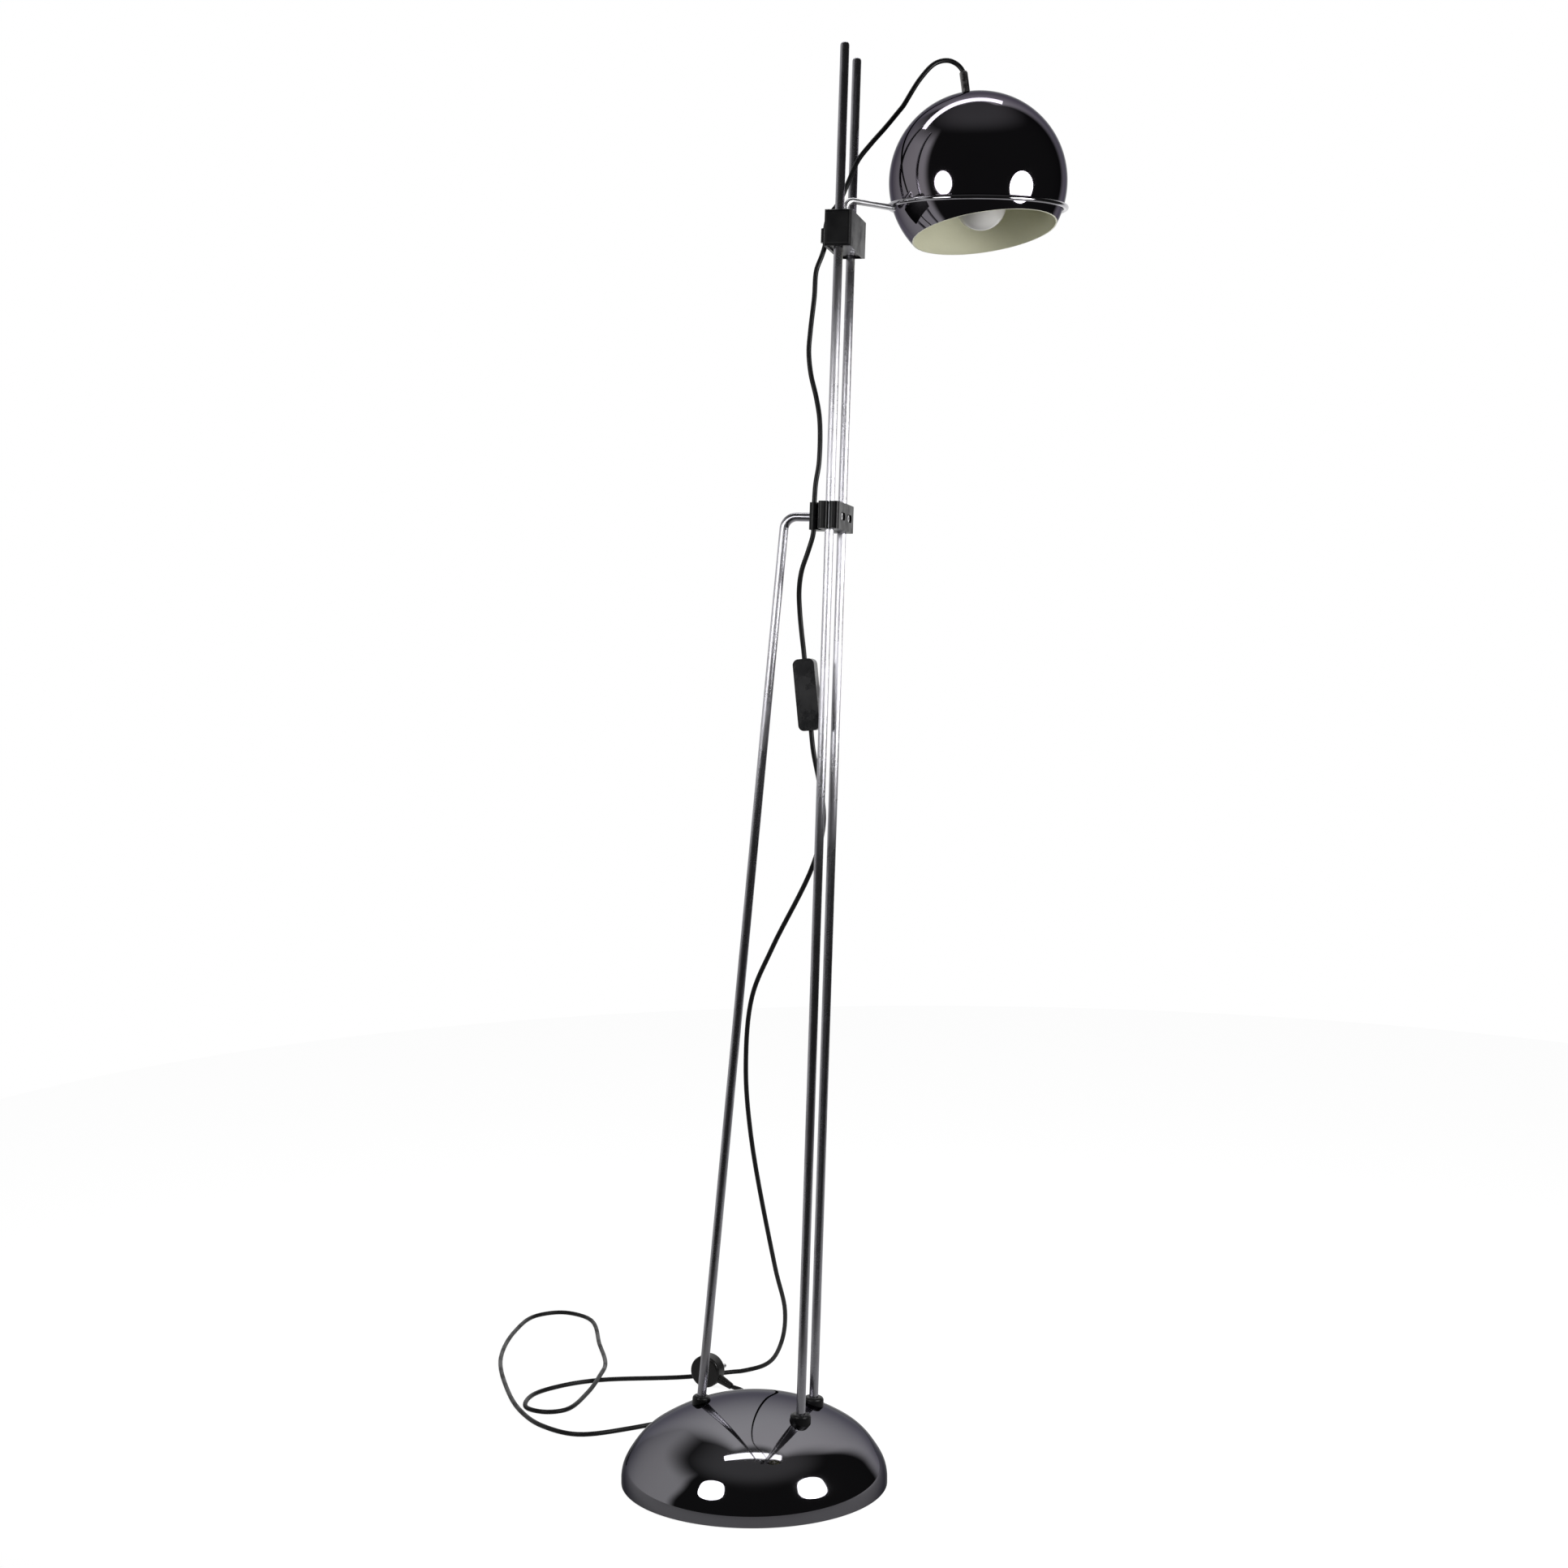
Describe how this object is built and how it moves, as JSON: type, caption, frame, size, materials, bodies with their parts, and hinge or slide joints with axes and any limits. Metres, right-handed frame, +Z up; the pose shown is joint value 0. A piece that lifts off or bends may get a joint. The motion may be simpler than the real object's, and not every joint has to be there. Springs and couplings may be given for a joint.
{
  "type": "floor lamp",
  "caption": "Floor lamp with a weighted domed base, twin mast rods and a strut, a sliding friction block, and a chromed globe shade turning in a wire ring.",
  "frame": {"origin": "middle of the base, on the floor", "axes": "+Z up along the lamp, +X from the strut towards the shade, +Y from the front rod to the rear rod"},
  "size_m": [0.7331, 0.6677, 1.4349],
  "materials": {
    "bright_chrome": "mirror bright chromium plate",
    "shade_chrome": "mirror bright outside, cream enamel inside",
    "bright_steel": "zinc plated",
    "cast_weight": "rough cast",
    "felt_pad": "matt black",
    "black_rubber": "soft sheen",
    "black_moulding": "fine matt grain",
    "white_nylon": "plain nylon",
    "grey_grip": "dull streaked grey",
    "porcelain": "glazed",
    "bulb_metal": "rolled thread",
    "frosted_glass": "frosted white",
    "cord_sheath": "matt black sheath",
    "switch_moulding": "half gloss black",
    "contact_brass": "plain"
  },
  "bodies": {
    "stand": {"base_shell": "bright_chrome", "mast_rod_front": "bright_chrome", "mast_rod_rear": "bright_chrome", "strut_rod": "bright_chrome", "base_weight": "cast_weight", "base_pad": "felt_pad", "rod_nuts": "bright_steel", "rod_washers": "bright_steel", "ferrule_front": "black_rubber", "ferrule_rear": "black_rubber", "ferrule_strut": "black_rubber", "clamp_inner_jaw": "black_moulding", "clamp_outer_jaw": "black_moulding", "clamp_screws": "bright_steel", "clamp_nuts": "bright_steel", "cord_middle": "cord_sheath", "cord_hang": "cord_sheath", "cord_floor": "cord_sheath", "switch_front": "switch_moulding", "switch_rear": "switch_moulding", "switch_screws": "bright_steel", "switch_contacts": "contact_brass", "plug_body": "cord_sheath", "plug_pins": "bright_steel"},
    "slider": {"slider_housing": "black_moulding", "slider_cover": "black_moulding", "cover_screws": "bright_steel", "friction_shoes": "white_nylon", "shoe_spring": "bright_steel", "arm_bush": "white_nylon"},
    "arm": {"shade_arm": "bright_chrome", "shade_ring": "bright_chrome", "arm_clip": "bright_steel", "cord_back": "cord_sheath"},
    "globe": {"globe_shade": "shade_chrome", "cord_grip": "grey_grip", "nipple_tube": "bright_steel", "nipple_nuts": "bright_steel", "holder_cap": "black_moulding", "holder_shell": "black_moulding", "holder_core": "porcelain", "bulb_cap": "bulb_metal", "bulb_glass": "frosted_glass", "cord_top": "cord_sheath"},
    "rocker": {"switch_rocker": "switch_moulding"}
  },
  "joints": [
    {"name": "height_slide", "type": "slide", "parent": "stand", "child": "slider", "axis": [0.0332, 0, 0.9995], "range_m": [-0.24, 0.15], "deforming": ["cord_middle"]},
    {"name": "arm_swivel", "type": "hinge", "parent": "slider", "child": "arm", "pos_m": [0.09336, 0, 1.24681], "axis": [0.0332, 0, 0.9995], "range_deg": [-100, 40], "deforming": ["cord_back"]},
    {"name": "globe_tilt", "type": "hinge", "parent": "arm", "child": "globe", "pos_m": [0.21593, 0.06707, 1.30666], "axis": [-0.4997, 0.866, 0.0166], "range_deg": [-35, 45], "deforming": ["cord_top"]},
    {"name": "rocker_tip", "type": "hinge", "parent": "stand", "child": "rocker", "pos_m": [0.054, 0.0085, 0.789], "axis": [0.9954, 0, 0.0958], "range_deg": [-16, 0]}
  ]
}
